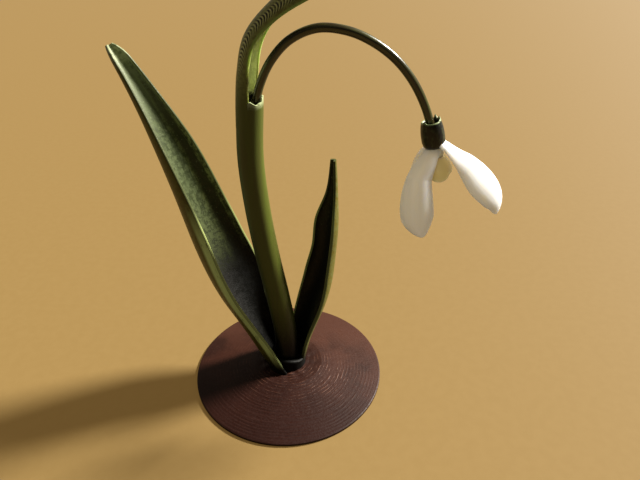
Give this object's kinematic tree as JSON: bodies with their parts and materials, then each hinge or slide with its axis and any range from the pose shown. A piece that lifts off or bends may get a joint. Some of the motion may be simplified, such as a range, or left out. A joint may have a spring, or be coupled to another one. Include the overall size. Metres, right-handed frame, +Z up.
{
  "type": "snowdrop ornament",
  "caption": "Nodding snowdrop of printed plastic with channel-shaped leaves and an arched stalk, upright on a round base.",
  "frame": {"origin": "middle of the base's flat underside", "axes": "+Z up from the base, +X towards the hanging flower, -Y towards the front"},
  "size_m": [0.0858, 0.05, 0.0965],
  "materials": {
    "soil_brown": "brown printed plastic, satin, fine concentric steps",
    "leaf_green": "grey-green printed plastic, satin, faint mottling",
    "stem_green": "yellow-green printed plastic, satin, layer lines",
    "stalk_green": "smooth green filament, glossy",
    "ovary_green": "dark green printed plastic, satin",
    "petal_white": "smooth white plastic, soft sheen",
    "cup_cream": "cream white plastic, satin"
  },
  "bodies": {
    "root": {"base": "soil_brown", "leaf_long": "leaf_green", "leaf_short": "leaf_green", "stem": "stem_green", "pedicel": "stalk_green", "ovary": "ovary_green", "outer_tepal_1": "petal_white", "outer_tepal_2": "petal_white", "outer_tepal_3": "petal_white", "inner_tepals": "cup_cream"}
  },
  "joints": []
}
